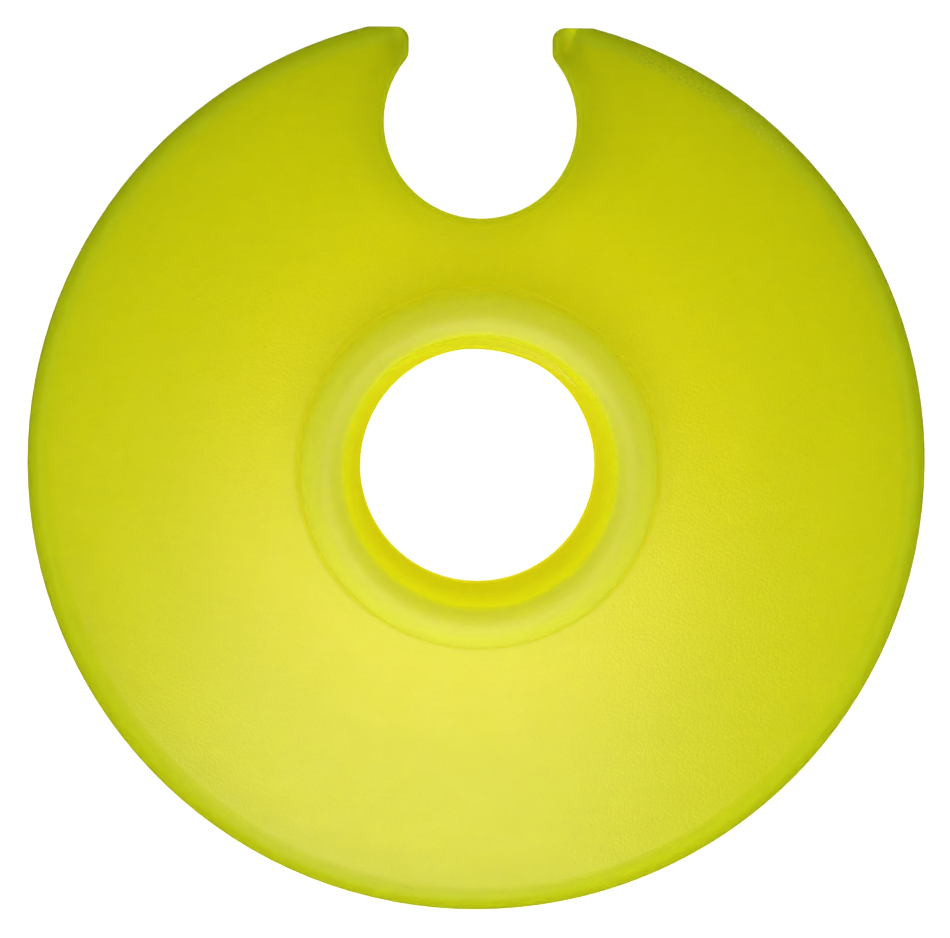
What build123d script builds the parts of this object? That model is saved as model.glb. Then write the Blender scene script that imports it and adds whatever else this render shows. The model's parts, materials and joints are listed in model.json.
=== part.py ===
from build123d import *

import math
import os

# Trekking pole basket: one moulded disc with a collared pole bore and a snap notch in its rim.
# Millimetres. The origin is on the bore axis, in the plane that the rim rests on. +Z points up
# the pole, out of the collar, and +Y points at the notch.

# Disc
rim_radius = 25.0
rim_round = 2.2  # upper outer edge of the rim
rim_foot_round = 0.6  # lower outer edge of the rim
rest_ring_radius = 22.4  # inner edge of the flat ring that the rim stands on
rest_ring_round = 2.0
dome_radius = 70.0  # spherical top face
under_radius = 52.0  # underside's arc, which leaves the disc thicker towards the rim
disc_thickness = 1.9  # beside the hub

# Hub and collar
total_height = 10.0
collar_foot_radius = 9.85
collar_foot_height = 6.1
collar_foot_fillet = 0.35
crest_radius = 1.35  # the collar's top is an arc from its outer wall to the bore's mouth
crest_middle = 8.35  # from the bore axis
collar_draft = 7.0  # degrees that the collar's outer wall leans in
hub_radius = 9.2
hub_end_height = 1.6
hub_end_round = 0.6
hub_root_fillet = 0.9

# Pole bore: a short straight seat, then a taper that opens to the mouth
bore_radius = 6.5
bore_seat_length = 2.6
bore_mouth_radius = 7.4
bore_mouth_round = 0.25
bore_end_round = 0.35

# Guide rib: a short piece of coarse right-hand thread that climbs to the bore's mouth
rib_width = 1.5
rib_inner_radius = 5.8  # before its crest is cut
rib_root_radius = 8.2  # buried in the collar's wall
rib_pitch = 9.0
rib_low_height = 6.3  # middle of the rib at its low end
rib_low_angle = 35.0
rib_sweep_angle = 100.0
rib_reach = 0.4  # how far the middle of the rib stands out of the bore's wall
rib_crest_offset = 1.4  # the crest's cone is off the bore axis, so the rib fades out at both ends

# Snap notch for the second pole
notch_radius = 5.35
notch_centre = 19.0  # from the bore axis
mouth_width = 8.0
throat_corner_round = 0.8  # where the mouth's sides meet the round notch
tip_height = 24.2  # the arms end in a flat, this far from the bore axis
tip_flat_reach = 7.0  # from the notch's middle, past the place where the flat runs into the rim
tip_corner_round = 0.7
notch_edge_round = 0.4

os.makedirs("parts", exist_ok=True)


def dome_height(r):
    """Height of the spherical top face at distance r from the axis."""
    centre_height = collar_foot_height - math.sqrt(dome_radius**2 - collar_foot_radius**2)
    return centre_height + math.sqrt(dome_radius**2 - r**2)


# Corners of half the section: distance from the axis, height
bore_end = (bore_radius, hub_end_height)
hub_end = (hub_radius, hub_end_height)
hub_root = (hub_radius, dome_height(hub_radius) - disc_thickness)
rest_ring = (rest_ring_radius, 0)
rim_foot = (rim_radius, 0)
rim_top = (rim_radius, dome_height(rim_radius))
collar_foot = (collar_foot_radius, collar_foot_height)
crest_height = total_height - crest_radius
mouth_height = crest_height + math.sqrt(crest_radius**2 - (crest_middle - bore_mouth_radius)**2)
collar_shoulder = (
    crest_middle + crest_radius * math.cos(math.radians(collar_draft)),
    crest_height + crest_radius * math.sin(math.radians(collar_draft)),
)
bore_mouth = (bore_mouth_radius, mouth_height)
seat_top = (bore_radius, hub_end_height + bore_seat_length)

corner_rounds = [
    (bore_end, bore_end_round),
    (hub_end, hub_end_round),
    (hub_root, hub_root_fillet),
    (rest_ring, rest_ring_round),
    (rim_foot, rim_foot_round),
    (rim_top, rim_round),
    (collar_foot, collar_foot_fillet),
    (bore_mouth, bore_mouth_round),
]

# Guide rib, swept upwards from the +X axis and turned into its place when the basket takes it in
taper_height = mouth_height - seat_top[1]
crest_cone_growth = rib_crest_offset - rib_reach
offset_angle = math.radians(rib_sweep_angle / 2 + 180)
with BuildPart() as guide_rib:
    with BuildLine() as rib_path:
        Helix(
            pitch=rib_pitch,
            height=rib_pitch * rib_sweep_angle / 360,
            radius=(rib_inner_radius + rib_root_radius) / 2,
            center=(0, 0, rib_low_height),
        )
    with BuildSketch(Plane.XZ) as rib_section:
        with Locations(((rib_inner_radius + rib_root_radius) / 2, rib_low_height)):
            Rectangle(rib_root_radius - rib_inner_radius, rib_width)
    sweep(path=rib_path.wires()[0], is_frenet=True)
    crest_centre = (
        rib_crest_offset * math.cos(offset_angle),
        rib_crest_offset * math.sin(offset_angle),
        seat_top[1],
    )
    with Locations(crest_centre):
        Cone(
            bore_radius + crest_cone_growth,
            bore_mouth_radius + crest_cone_growth,
            taper_height,
            align=(Align.CENTER, Align.CENTER, Align.MIN),
            mode=Mode.SUBTRACT,
        )

with BuildPart() as basket:
    # Disc, hub and collar: one section turned about the bore axis
    with BuildSketch(Plane.XZ) as section:
        with BuildLine():
            Polyline(bore_end, hub_end, hub_root)
            RadiusArc(hub_root, rest_ring, under_radius)
            Polyline(rest_ring, rim_foot, rim_top)
            RadiusArc(rim_top, collar_foot, -dome_radius)
            Line(collar_foot, collar_shoulder)
            RadiusArc(collar_shoulder, bore_mouth, -crest_radius)
            Polyline(bore_mouth, seat_top, bore_end)
        make_face()
        for (r, height), corner_round in corner_rounds:
            corner = section.vertices().sort_by_distance((r, height, 0))[0]
            fillet(corner, corner_round)
    revolve(axis=Axis.Z)

    # Guide rib inside the mouth
    add(guide_rib.part, rotation=(0, 0, rib_low_angle))

    # Snap notch through the disc and out of the rim, with every edge softened
    with BuildSketch(Plane.XY) as notch:
        with Locations((0, notch_centre)):
            Circle(notch_radius)
            Rectangle(mouth_width, 2 * rim_radius, align=(Align.CENTER, Align.MIN))
        with Locations((0, tip_height)):
            Rectangle(2 * tip_flat_reach, rim_radius, align=(Align.CENTER, Align.MIN))
        throat_corners = notch.vertices().group_by(Axis.Y)[0]
        fillet(throat_corners, throat_corner_round)
        tip_corners = notch.vertices().sort_by_distance((0, tip_height, 0))[:2]
        fillet(tip_corners, tip_corner_round)
    extrude(amount=total_height, mode=Mode.SUBTRACT)
    cut_edges = basket.edges(Select.LAST) - basket.edges().filter_by(Axis.Z)
    within_width = cut_edges.filter_by_position(Axis.X, -tip_flat_reach, tip_flat_reach)
    notch_edges = within_width.filter_by_position(Axis.Y, notch_centre - notch_radius, rim_radius)
    fillet(notch_edges, notch_edge_round)

basket.part.label = "basket"
export_step(basket.part, "parts/basket.step")
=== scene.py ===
import json
import math
from types import SimpleNamespace

import bpy
from mathutils import Matrix, Vector


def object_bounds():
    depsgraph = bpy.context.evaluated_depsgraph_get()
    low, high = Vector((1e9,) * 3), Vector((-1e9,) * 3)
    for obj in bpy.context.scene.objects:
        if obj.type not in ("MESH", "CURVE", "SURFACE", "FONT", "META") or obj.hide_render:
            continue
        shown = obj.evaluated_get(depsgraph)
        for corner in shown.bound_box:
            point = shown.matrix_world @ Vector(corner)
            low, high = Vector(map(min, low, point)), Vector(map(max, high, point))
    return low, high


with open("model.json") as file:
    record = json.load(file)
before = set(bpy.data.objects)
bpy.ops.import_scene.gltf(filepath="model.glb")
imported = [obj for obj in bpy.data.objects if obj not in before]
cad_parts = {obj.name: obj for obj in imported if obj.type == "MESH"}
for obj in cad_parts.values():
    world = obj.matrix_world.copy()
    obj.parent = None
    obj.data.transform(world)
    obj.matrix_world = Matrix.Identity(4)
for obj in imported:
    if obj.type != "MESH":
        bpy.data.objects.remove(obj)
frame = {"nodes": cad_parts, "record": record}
cad_low, cad_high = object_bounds()
mounts = {mount["name"]: mount for mount in frame["record"]["mounts"]}

MM = 0.001
RIM_RADIUS = cad_high.x
COLLAR_TOP = cad_high.z
BORE_RADIUS = mounts["pole_bore"]["dims"]["r_mm"] * MM
NOTCH_CENTRE = mounts["pole_clip"]["pos_m"]
NOTCH_RADIUS = mounts["pole_clip"]["dims"]["r_mm"] * MM

# Plastic: linear colours
LIME = (0.72, 0.70, 0.0005, 1)
PAINTED_LIGHT_LIME = (0.80, 0.775, 0.001, 1)  # painted light on the disc beside the collar, where the collar's shade falls
OLIVE = (0.36, 0.41, 0.001, 1)  # where light has more plastic to go through, and painted shade
FROST_AND_SHEEN = (0.575, 0.57, 0.075, 1)  # the collar: a dull, rough finish with a painted pale sheen
DIRT = (0.28, 0.23, 0.02, 1)
CHALK = (0.85, 0.82, 0.20, 1)
SCATTER_REACH = 20 * MM
SCATTER_COLOUR = (1.0, 0.8, 0.1)

# Studio
WHITE = (1, 1, 1, 1)
FLOOR_COLOUR = (0.4, 0.4, 0.04, 1)
FLOOR_LIGHT = (0.05, 0.05, 0.01, 1)
FLOOR_REACH = 2.0
FLOOR_SIDES = 96
INNER_GLOW = (0.66, 0.61, 0.01, 1)
OUTER_GLOW = (0.37, 0.39, 0.01, 1)
ROOM_COLOUR = (0.78, 1.0, 0.11, 1)
HORIZON = 2.5
ZENITH = 0.05
LAMP_DISTANCE = 0.9

# Camera
CAMERA_DISTANCE = 380 * MM
SEEN_WIDTH = 52.6 * MM
SENSOR_WIDTH = 36  # Blender gives the sensor and the lens in millimetres
TARGET = Vector((-0.135, -0.225, 3.0)) * MM
TIP_LEFT = math.radians(1.18)
TIP_TO_NOTCH = math.radians(3.16)
ROLL = math.radians(0.529)


def add(tree, kind, inputs=None, **settings):
    """A shader node. An input's value may be another node's output, which is then linked."""
    made = tree.nodes.new("ShaderNode" + kind)
    for name, value in settings.items():
        setattr(made, name, value)
    for name, value in (inputs or {}).items():
        if isinstance(value, bpy.types.NodeSocket):
            tree.links.new(value, made.inputs[name])
        else:
            made.inputs[name].default_value = value
    return made


def calc(tree, operation, first, second=0.0):
    """The result of one step of arithmetic."""
    return add(tree, "Math", {0: first, 1: second}, operation=operation).outputs[0]


def product(tree, first, *others):
    for other in others:
        first = calc(tree, "MULTIPLY", first, other)
    return first


def total(tree, first, *others):
    for other in others:
        first = calc(tree, "ADD", first, other)
    return first


def step(tree, value, start, end, low=0.0, high=1.0):
    """Goes smoothly from low to high as value goes from start to end."""
    inputs = {"Value": value, "From Min": start, "From Max": end, "To Min": low, "To Max": high}
    return add(tree, "MapRange", inputs, interpolation_type="SMOOTHSTEP").outputs[0]


def noise(tree, place, grain, detail=2.0):
    """Noise from 0 to 1 whose lumps are about grain across."""
    inputs = {"Vector": place, "Scale": 1 / grain, "Detail": detail}
    return add(tree, "TexNoise", inputs).outputs[0]


def blend(tree, share, first, second):
    """The mix of two colours."""
    inputs = {0: share, 6: first, 7: second}
    return add(tree, "Mix", inputs, data_type="RGBA").outputs[2]


def distance_from(tree, place, centre):
    """Distance from an upright line through centre."""
    away = add(tree, "VectorMath", {0: place, 1: (centre[0], centre[1], 0)}, operation="SUBTRACT").outputs[0]
    level = add(tree, "VectorMath", {0: away, 1: (1, 1, 0)}, operation="MULTIPLY").outputs[0]
    return add(tree, "VectorMath", {0: level}, operation="LENGTH").outputs["Value"]


def where(tree):
    """Where a point of the part is. right_side is a weight that grows from left to right across the notch."""
    place = add(tree, "TexCoord").outputs["Object"]
    parts = add(tree, "SeparateXYZ", {0: place}).outputs
    return SimpleNamespace(
        place=place,
        x=parts["X"],
        y=parts["Y"],
        z=parts["Z"],
        to_side=calc(tree, "ABSOLUTE", parts["X"]),
        right_side=step(tree, parts["X"], -6 * MM, 6 * MM, 0.9, 1.5),
        radius=distance_from(tree, place, (0, 0)),
        from_notch=calc(tree, "SUBTRACT", distance_from(tree, place, NOTCH_CENTRE), NOTCH_RADIUS),
    )


def lower_rim(tree, at):
    """Painted shade: the rim is darker on the side away from the notch, more so on the left."""
    near_rim = step(tree, at.radius, RIM_RADIUS - 4 * MM, RIM_RADIUS - 0.8 * MM)
    low_side = step(tree, at.y, 5 * MM, -12 * MM, 0.0, 0.25)
    left_side = step(tree, at.x, 14 * MM, -6 * MM)
    return product(tree, near_rim, low_side, left_side)


def arms(tree, at):
    """Painted shade: the arms beside the notch are darker, more so on the right."""
    near_notch = step(tree, at.from_notch, 6 * MM, 0.0)
    high_side = step(tree, at.y, 13 * MM, 18 * MM, 0.0, 0.25)
    return product(tree, near_notch, high_side, at.right_side)


def tips(tree, at):
    """Painted shade: the arms' tips are darker still, more so on the right."""
    beside_mouth = step(tree, at.to_side, 6.5 * MM, 4 * MM)
    high_side = step(tree, at.y, 21 * MM, 23.5 * MM, 0.0, 0.3)
    return product(tree, beside_mouth, high_side, at.right_side)


def unevenness(tree, at):
    """Clouds, streaks along the flow and specks in the moulding."""
    flow = add(tree, "Mapping", {"Vector": at.place, "Scale": (0.12, 1, 1)}).outputs[0]
    cloud = product(tree, noise(tree, at.place, 3.5 * MM), 0.10)
    streak = product(tree, noise(tree, flow, 0.7 * MM), 0.10)
    speck = product(tree, noise(tree, at.place, 0.15 * MM), 0.10)
    return cloud, streak, speck


def colour_depth_and_shade(tree, at):
    """How deep the colour is, from the plastic's thickness and grain and from painted shade: lime at 0 and
    olive at 1.
    """
    # Darker towards the rim, partly for the thicker plastic and partly as painted shade; the very edge is
    # lifted by painted light.
    thick_and_rim_shade = step(tree, at.radius, RIM_RADIUS - 6 * MM, RIM_RADIUS, 0.0, 0.22)
    painted_edge_light = step(tree, at.radius, RIM_RADIUS - 1.0 * MM, RIM_RADIUS - 0.1 * MM, 0.0, -0.25)
    # Painted shade: a thin dark line and a soft darker fringe along the notch's edge.
    painted_notch_edge_shade = step(tree, at.from_notch, 0.40 * MM, 0.05 * MM, 0.0, 0.6)
    painted_notch_shade = step(tree, at.from_notch, 2.5 * MM, 0.0, 0.0, 0.42)
    rim = total(tree, thick_and_rim_shade, painted_edge_light, lower_rim(tree, at))
    return total(tree, rim, painted_notch_edge_shade, painted_notch_shade, arms(tree, at), tips(tree, at), *unevenness(tree, at))


def scuffs(tree, at, turn_from, turn_to, grain):
    """Small marks on the rim's upper edge between two angles, in degrees from +X."""
    turn = calc(tree, "ARCTAN2", at.y, at.x)
    middle = math.radians((turn_from + turn_to) / 2)
    half = math.radians(abs(turn_to - turn_from) / 2)
    off = calc(tree, "ABSOLUTE", calc(tree, "SUBTRACT", turn, middle))
    along = step(tree, off, half, half * 0.5)
    band = calc(tree, "ABSOLUTE", calc(tree, "SUBTRACT", at.radius, RIM_RADIUS - 0.65 * MM))
    across = step(tree, band, 0.65 * MM, 0.2 * MM)
    marks = step(tree, noise(tree, at.place, grain, 4.0), 0.48, 0.66)
    return product(tree, along, across, marks)


def collar_frost_and_sheen(tree, at):
    """How much frost and painted pale sheen the plastic has: 1 on the collar's top and outer wall, and 0 in
    the bore and on the disc.
    """
    above_disc = step(tree, at.z, COLLAR_TOP - 4.6 * MM, COLLAR_TOP - 3.8 * MM)
    inner_fade = step(tree, at.radius, BORE_RADIUS + 0.75 * MM, BORE_RADIUS + 1.25 * MM)
    outer_fade = step(tree, at.radius, BORE_RADIUS + 3.8 * MM, BORE_RADIUS + 3.0 * MM)
    return product(tree, above_disc, product(tree, inner_fade, outer_fade))


def scatter_share(tree, at):
    """The share of light that scatters inside the plastic: all of it, but less in the arms' tips."""
    beside_mouth = step(tree, at.to_side, 6.0 * MM, 4.2 * MM)
    high_side = step(tree, at.y, 20.5 * MM, 22.5 * MM)
    return calc(tree, "SUBTRACT", 1.0, product(tree, beside_mouth, high_side, at.right_side, 0.5))


def lime_plastic():
    """Translucent lime plastic with a fine moulded grain, a duller collar with a painted pale sheen, painted
    shade at the rim, notch and arms, painted light beside the collar, and a scuffed rim.
    """
    material = bpy.data.materials.new("lime_plastic")
    material.use_nodes = True
    tree = material.node_tree
    shader = tree.nodes["Principled BSDF"]
    at = where(tree)
    dark_marks = scuffs(tree, at, 54, 72, 0.14 * MM)
    pale_marks = scuffs(tree, at, 44, 57, 0.18 * MM)
    wear = total(tree, dark_marks, pale_marks)
    frost_and_sheen = collar_frost_and_sheen(tree, at)

    # Painted light: the disc beside the collar is lightened where the collar's shade falls.
    painted_collar_fill = step(tree, at.radius, 13 * MM, 10 * MM)
    colour = blend(tree, colour_depth_and_shade(tree, at), blend(tree, painted_collar_fill, LIME, PAINTED_LIGHT_LIME), OLIVE)
    colour = blend(tree, product(tree, dark_marks, 0.4), colour, DIRT)
    colour = blend(tree, product(tree, pale_marks, 0.35), colour, CHALK)
    # Painted sheen: the collar's pale colour stands in for its sheen, over a rougher finish.
    colour = blend(tree, frost_and_sheen, colour, FROST_AND_SHEEN)
    tree.links.new(colour, shader.inputs["Base Color"])

    satin = step(tree, noise(tree, at.place, 1.2 * MM), 0.3, 0.7, 0.31, 0.37)
    rough = total(tree, satin, product(tree, wear, 0.2), product(tree, frost_and_sheen, 0.15))
    tree.links.new(rough, shader.inputs["Roughness"])

    relief = total(tree, noise(tree, at.place, 0.16 * MM, 3.0), product(tree, wear, 0.8))
    bump = add(tree, "Bump", {"Strength": 0.5, "Distance": 0.025 * MM, "Height": relief})
    tree.links.new(bump.outputs[0], shader.inputs["Normal"])

    shader.inputs["IOR"].default_value = 1.5
    shader.inputs["Specular IOR Level"].default_value = 0.5
    tree.links.new(scatter_share(tree, at), shader.inputs["Subsurface Weight"])
    shader.inputs["Subsurface Radius"].default_value = SCATTER_COLOUR
    shader.inputs["Subsurface Scale"].default_value = SCATTER_REACH
    return material


def floor_material(name, light):
    """White to the camera, and gives light to the part. Its back is clear, to show the part from below."""
    material = bpy.data.materials.new(name)
    material.use_nodes = True
    tree = material.node_tree
    shader = tree.nodes["Principled BSDF"]
    shader.inputs["Base Color"].default_value = FLOOR_COLOUR
    shader.inputs["Roughness"].default_value = 0.8
    shader.inputs["Specular IOR Level"].default_value = 0.0
    shader.inputs["Emission Strength"].default_value = 1
    seen = add(tree, "LightPath").outputs["Is Camera Ray"]
    tree.links.new(blend(tree, seen, light, WHITE), shader.inputs["Emission Color"])
    clear = add(tree, "BsdfTransparent")
    back = add(tree, "NewGeometry").outputs["Backfacing"]
    both = add(tree, "MixShader", {0: back, 1: shader.outputs[0], 2: clear.outputs[0]})
    tree.links.new(both.outputs[0], tree.nodes["Material Output"].inputs["Surface"])
    return material


def make_floor():
    """A plain white floor. Its rings under the part glow, brightest in the middle, as a light table does."""
    rings = [(14 * MM, INNER_GLOW), (RIM_RADIUS - 1.5 * MM, OUTER_GLOW), (FLOOR_REACH, FLOOR_LIGHT)]
    points = [(0, 0, 0)]
    faces = []
    slots = []
    mesh = bpy.data.meshes.new("floor")
    for i, (reach, light) in enumerate(rings):
        start = len(points)
        for k in range(FLOOR_SIDES):
            turn = math.tau * k / FLOOR_SIDES
            points.append((reach * math.cos(turn), reach * math.sin(turn), 0))
            after = (k + 1) % FLOOR_SIDES
            inside = start - FLOOR_SIDES
            if i == 0:
                faces.append((0, start + k, start + after))
            else:
                faces.append((inside + k, start + k, start + after, inside + after))
            slots.append(i)
        material = floor_material(f"floor_{i}", light)
        material.cycles.emission_sampling = "NONE" if reach == FLOOR_REACH else "FRONT"
        mesh.materials.append(material)
    mesh.from_pydata(points, [], faces)
    mesh.polygons.foreach_set("material_index", slots)
    floor = bpy.data.objects.new("floor", mesh)
    bpy.context.scene.collection.objects.link(floor)


def make_room():
    """A room that is bright at the horizon, dimmer past the notch, dark overhead and white to the camera."""
    world = bpy.data.worlds.new("room")
    bpy.context.scene.world = world
    world.use_nodes = True
    tree = world.node_tree
    room = tree.nodes["Background"]
    room.inputs["Color"].default_value = ROOM_COLOUR
    way = add(tree, "SeparateXYZ", {0: add(tree, "TexCoord").outputs["Generated"]}).outputs
    upwards = step(tree, way["Z"], 0.0, 0.65, HORIZON, ZENITH)
    past_notch = step(tree, way["Y"], 0.0, 1.0, 1.0, 0.75)
    tree.links.new(product(tree, upwards, past_notch), room.inputs["Strength"])
    white = add(tree, "Background", {"Color": WHITE, "Strength": 1.0})
    seen = add(tree, "LightPath").outputs["Is Camera Ray"]
    both = add(tree, "MixShader", {0: seen, 1: room.outputs[0], 2: white.outputs[0]})
    tree.links.new(both.outputs[0], tree.nodes["World Output"].inputs["Surface"])


def softbox(name, azimuth, elevation, size, power, colour):
    """A square soft light that faces the part. Azimuth 0 is on the side away from the notch."""
    data = bpy.data.lights.new(name, "AREA")
    data.size = size
    data.energy = power
    data.color = colour
    lamp = bpy.data.objects.new(name, data)
    bpy.context.scene.collection.objects.link(lamp)
    turn, rise = math.radians(azimuth), math.radians(elevation)
    away = Vector((math.sin(turn) * math.cos(rise), -math.cos(turn) * math.cos(rise), math.sin(rise)))
    lamp.location = away * LAMP_DISTANCE
    lamp.rotation_mode = "QUATERNION"
    lamp.rotation_quaternion = away.to_track_quat("Z", "Y")
    lamp.visible_camera = False


def make_camera():
    """Looks down the bore, tipped a little towards the notch and to the left."""
    away = Vector((-math.sin(TIP_LEFT), math.sin(TIP_TO_NOTCH), 0))
    away.z = math.sqrt(1 - away.length_squared)
    data = bpy.data.cameras.new("camera")
    data.sensor_width = SENSOR_WIDTH
    data.lens = SENSOR_WIDTH * CAMERA_DISTANCE / SEEN_WIDTH
    data.clip_start = 0.01
    camera = bpy.data.objects.new("camera", data)
    bpy.context.scene.collection.objects.link(camera)
    right = Vector((0, 1, 0)).cross(away).normalized()
    up = away.cross(right)
    axes = Matrix((right, up, away)).transposed().to_4x4()
    place = Matrix.Translation(TARGET + away * CAMERA_DISTANCE)
    camera.matrix_world = place @ axes @ Matrix.Rotation(ROLL, 4, "Z")
    bpy.context.scene.camera = camera


frame["nodes"]["basket"].material_slots[0].material = lime_plastic()
make_floor()
make_room()
softbox("key", azimuth=-8, elevation=62, size=0.75, power=5.9, colour=(1, 0.86, 0.8))
softbox("front", azimuth=-12, elevation=22, size=0.7, power=1.3, colour=(0.8, 0.6, 0.9))
make_camera()
bpy.context.scene.view_settings.view_transform = "Standard"
